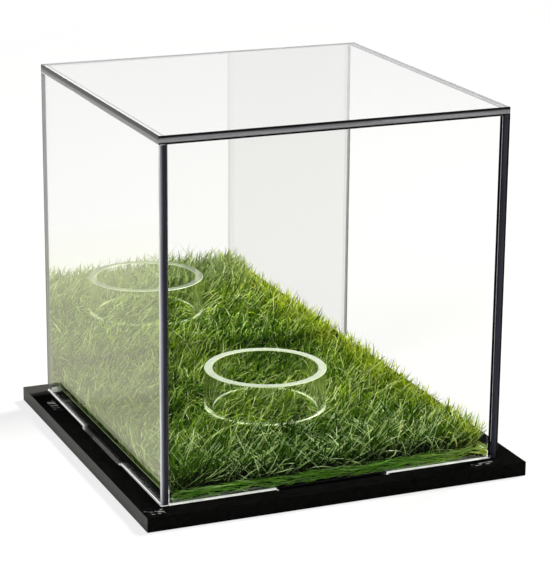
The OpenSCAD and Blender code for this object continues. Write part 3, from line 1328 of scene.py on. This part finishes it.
def growGrass(name, kind, places, yarn):
    points = skinBlades(kind, *bendBlades(kind, *places))
    starts = range(0, points.shape[0] * points.shape[1], points.shape[1])
    oneBlade = bladeFaces()
    faces = [tuple(start + i for i in face) for start in starts for face in oneBlade]
    mesh = bpy.data.meshes.new(name)
    mesh.from_pydata(points.reshape(-1, 3).tolist(), [], faces)
    layer = mesh.color_attributes.new("bladeTint", "FLOAT_COLOR", "POINT")
    layer.data.foreach_set("color", tintBlades(kind, *places[:2]).ravel())
    mesh.update()
    finishPiece(name, mesh, "base", ["turf_pile"], [yarn])


def makeRoots():
    # the layer that the blades stand in, with rounded corners
    radius, steps = turf["cornerRadius"], turf["cornerSteps"]
    middleX, middleY = turfHigh.x - radius, turfHigh.y - radius
    shape = bmesh.new()
    corners = []
    for quarter, (sideX, sideY) in enumerate([(1, 1), (-1, 1), (-1, -1), (1, -1)]):
        for k in range(steps + 1):
            angle = math.pi / 2 * (quarter + k / steps)
            x = middleX * sideX + radius * math.cos(angle)
            y = middleY * sideY + radius * math.sin(angle)
            corners.append(shape.verts.new((x, y, rootTop)))
    lower = bmesh.ops.extrude_face_region(shape, geom=[shape.faces.new(corners)])
    for made in lower["geom"]:
        if isinstance(made, bmesh.types.BMVert):
            made.co.z = turfLow.z
    bmesh.ops.recalc_face_normals(shape, faces=shape.faces)
    mesh = takeMesh("turfRoots", shape)
    kinds = [rootCloth, latexCoat, rootEdge]
    finishPiece("turf_roots", mesh, "base", ["turf_pile"], kinds)
    for face in mesh.polygons:
        left = face.normal.x < -mostly
        face.material_index = 0 if abs(face.normal.z) > mostly else 2 if left else 1


makeRoots()
grasses = [
    ("turf_blades", blades, scatter, grassYarn),
    ("turf_thatch", thatch, scatter, grassYarn),
    ("turf_strands", strands, scatter, strandYarn),
    ("turf_border", border, scatterRim, grassYarn),
    ("turf_front_strands", frontStrands, scatterFront, paleYarn),
    ("turf_fringe", fringe, scatterBorder, lyingYarn),
    ("turf_left_trim", leftTrim, scatterLeft, grassYarn),
]
for grassName, kind, scatterKind, yarn in grasses:
    growGrass(grassName, kind, scatterKind(kind["count"]), yarn)
print("turf grown")


# finishes of the pieces that keep their CAD shape
def refinish(nodeName, material):
    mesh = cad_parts[nodeName].data
    mesh.materials.clear()
    mesh.materials.append(material)


refinish("turf_backing", latexCoat)
refinish("mat_adhesive", adhesiveFilm)
refinish("mirror_backing", mirrorPaint)
print("mat and mirror backing finished")

# studio
studio = {
    "floorHalf": 1.5,  # metres
    "floorGap": 0.02 * mm,
    "floorColor": grey(0.82),
    "shownWhite": 0.75,  # share of plain white in what the camera and reflections see of the floor
    "fadeFrom": 0.2,  # metres from the middle, where the floor starts to turn plain white
    "fadeTo": 0.6,
    "roomLevel": 0.14,
    "frontLevel": 0.03,  # the room in front, as polished pieces mirror it
    "backLevel": 0.86,  # and behind
    "frontBlend": 0.25,  # from straight sideways, a way that leans this much to the front is fully dark
    "frontEdge": 5 * mm,  # painted shade: the mirrored floor turns dark this far behind the base's front side
    "frontSteepness": 50,
    "footReach": 5 * mm,
    "footLines": [  # painted highlight and shade lines on the mirrored floor next to the base
        (0.0, (0.95, 0.96, 0.85, 1)),
        (0.05, (0.95, 0.96, 0.85, 1)),
        (0.09, (0.2, 0.21, 0.15, 1)),
        (0.14, (0.2, 0.21, 0.15, 1)),
        (0.18, (1.0, 1.0, 0.95, 1)),
        (0.3, grey(1.0)),
    ],
    "glowReach": 250 * mm,
    "glow": [  # painted green light that the grass adds to the mirrored floor, from the case outwards
        (0.0, (0.97, 1.0, 0.6, 1)),
        (0.6, (0.97, 1.0, 0.6, 1)),
        (0.85, grey(1.0)),
    ],
    "lamps": [
        # place in metres, size, power in watts, colour
        ((0.5, 0.14, 0.66), 0.16, 10.0, (1.0, 0.98, 0.9)),
        ((-0.7, -0.3, 0.6), 0.4, 5.0, (0.97, 0.98, 1.0)),
    ],
}


def roomLight(tree, path, way):
    # how bright the room shows for this way from the case: full where it is looked at, and dark in front
    # where it is mirrored; and whether it is looked at
    link = linker(tree)
    split = addNode(tree, "ShaderNodeSeparateXYZ")
    facing = addNode(tree, "ShaderNodeMapRange", {
        "From Min": -studio["frontBlend"],
        "From Max": 0.0,
        "To Min": studio["frontLevel"],
        "To Max": studio["backLevel"],
    })
    straight = addNode(tree, "ShaderNodeMath", {0: 1.0}, operation="SUBTRACT", use_clamp=True)
    looked = addNode(tree, "ShaderNodeMath", operation="MAXIMUM")
    level = addNode(tree, "ShaderNodeMath", operation="MAXIMUM", use_clamp=True)
    tree.links.new(way, split.inputs[0])
    link(split, "Y", facing, "Value")
    link(path, "Glossy Depth", straight, 1)
    link(straight, 0, looked, 0)
    link(path, "Transparent Depth", looked, 1)
    link(facing, "Result", level, 0)
    link(looked, 0, level, 1)
    return level.outputs[0], looked.outputs[0]


def seenSharply(tree, path):
    # 1 for what the camera, a reflection or clear sheet shows, and 0 for light on a surface
    link = linker(tree)
    first = addNode(tree, "ShaderNodeMath", operation="MAXIMUM")
    second = addNode(tree, "ShaderNodeMath", operation="MAXIMUM")
    link(path, "Is Camera Ray", first, 0)
    link(path, "Is Glossy Ray", first, 1)
    link(first, 0, second, 0)
    link(path, "Is Transmission Ray", second, 1)
    return second.outputs[0]


def floorMaterial():
    material = bpy.data.materials.new("studioFloor")
    tree = emptyTree(material)
    link = linker(tree)
    output = addNode(tree, "ShaderNodeOutputMaterial")
    matte = addNode(tree, "ShaderNodeBsdfDiffuse")
    white = addNode(tree, "ShaderNodeEmission")
    share = addNode(tree, "ShaderNodeMath", operation="MULTIPLY")
    fade = addNode(tree, "ShaderNodeMapRange", {
        "From Min": studio["fadeFrom"], "From Max": studio["fadeTo"], "To Min": studio["shownWhite"],
    })
    mix = addNode(tree, "ShaderNodeMixShader")
    path = addNode(tree, "ShaderNodeLightPath")
    view = addNode(tree, "ShaderNodeNewGeometry")
    sharp = seenSharply(tree, path)
    # painted shade: the floor in front of the base is dark where polished pieces mirror it
    steepness = studio["frontSteepness"]
    ahead = addNode(tree, "ShaderNodeVectorMath", {
        1: (0, steepness, 0), 2: (0, -steepness * (baseLow.y + studio["frontEdge"]), 0),
    }, operation="MULTIPLY_ADD")
    link(view, "Position", ahead, 0)
    level, looked = roomLight(tree, path, ahead.outputs[0])
    # painted green light and painted highlight and shade lines on the floor near the base, as reflections
    # see it
    size = addNode(tree, "ShaderNodeVectorMath", operation="ABSOLUTE")
    split = addNode(tree, "ShaderNodeSeparateXYZ")
    away = addNode(tree, "ShaderNodeMath", operation="MAXIMUM")
    reach = addNode(tree, "ShaderNodeMapRange", {"From Max": studio["glowReach"]})
    glow = addNode(tree, "ShaderNodeValToRGB")
    plain = addNode(tree, "ShaderNodeMix", {7: grey(1)}, data_type="RGBA")
    near = addNode(tree, "ShaderNodeMapRange", {
        "From Min": baseHigh.x, "From Max": baseHigh.x + studio["footReach"],
    })
    lines = addNode(tree, "ShaderNodeValToRGB")
    both = addNode(tree, "ShaderNodeMix", {"Factor": 1.0}, data_type="RGBA", blend_type="MULTIPLY")
    fillRamp(glow, studio["glow"])
    fillRamp(lines, studio["footLines"])
    link(away, 0, near, "Value")
    link(near, "Result", lines, "Fac")
    link(glow, "Color", both, 6)
    link(lines, "Color", both, 7)
    link(view, "Position", size, 0)
    link(size, 0, split, 0)
    link(split, "X", away, 0)
    link(split, "Y", away, 1)
    link(away, 0, reach, "Value")
    link(reach, "Result", glow, "Fac")
    tree.links.new(looked, plain.inputs["Factor"])
    link(both, 2, plain, 6)
    link(plain, 2, white, "Color")
    lit = addNode(tree, "ShaderNodeMix", {6: studio["floorColor"]}, data_type="RGBA")
    shown = addNode(tree, "ShaderNodeMix", {6: grey(0), 7: studio["floorColor"]}, data_type="RGBA")
    tree.links.new(level, shown.inputs["Factor"])
    tree.links.new(sharp, lit.inputs["Factor"])
    link(shown, 2, lit, 7)
    link(lit, 2, matte, "Color")
    tree.links.new(level, white.inputs["Strength"])
    link(away, 0, fade, "Value")
    link(fade, "Result", share, 1)
    tree.links.new(sharp, share.inputs[0])
    link(share, 0, mix, 0)
    link(matte, 0, mix, 1)
    link(white, 0, mix, 2)
    link(mix, 0, output, "Surface")
    return material


def makeFloor():
    shape = bmesh.new()
    bmesh.ops.create_grid(shape, x_segments=2, y_segments=2, size=studio["floorHalf"])
    mesh = takeMesh("studioFloor", shape)
    mesh.materials.append(floorMaterial())
    floor = bpy.data.objects.new("studioFloor", mesh)
    floor.location.z = -studio["floorGap"]
    bpy.context.scene.collection.objects.link(floor)


def makeRoom():
    world = bpy.data.worlds.new("studioRoom")
    bpy.context.scene.world = world
    tree = emptyTree(world)
    link = linker(tree)
    output = addNode(tree, "ShaderNodeOutputWorld")
    shade = addNode(tree, "ShaderNodeBackground", {"Color": grey(1)})
    path = addNode(tree, "ShaderNodeLightPath")
    view = addNode(tree, "ShaderNodeTexCoord")
    level = addNode(tree, "ShaderNodeMix", {2: studio["roomLevel"]}, data_type="FLOAT")
    tree.links.new(seenSharply(tree, path), level.inputs["Factor"])
    tree.links.new(roomLight(tree, path, view.outputs["Generated"])[0], level.inputs[3])
    link(level, 0, shade, "Strength")
    link(shade, 0, output, "Surface")


def makeLamps():
    for number, (place, size, power, colour) in enumerate(studio["lamps"]):
        data = bpy.data.lights.new(f"lamp{number}", "AREA")
        data.size = size
        data.energy = power
        data.color = colour
        lamp = bpy.data.objects.new(f"lamp{number}", data)
        lamp.location = place
        lamp.rotation_mode = "QUATERNION"
        lamp.rotation_quaternion = Vector(place).to_track_quat("Z", "Y")
        bpy.context.scene.collection.objects.link(lamp)


makeFloor()
makeRoom()
makeLamps()
bpy.context.scene.view_settings.view_transform = "Standard"
print("studio lit")
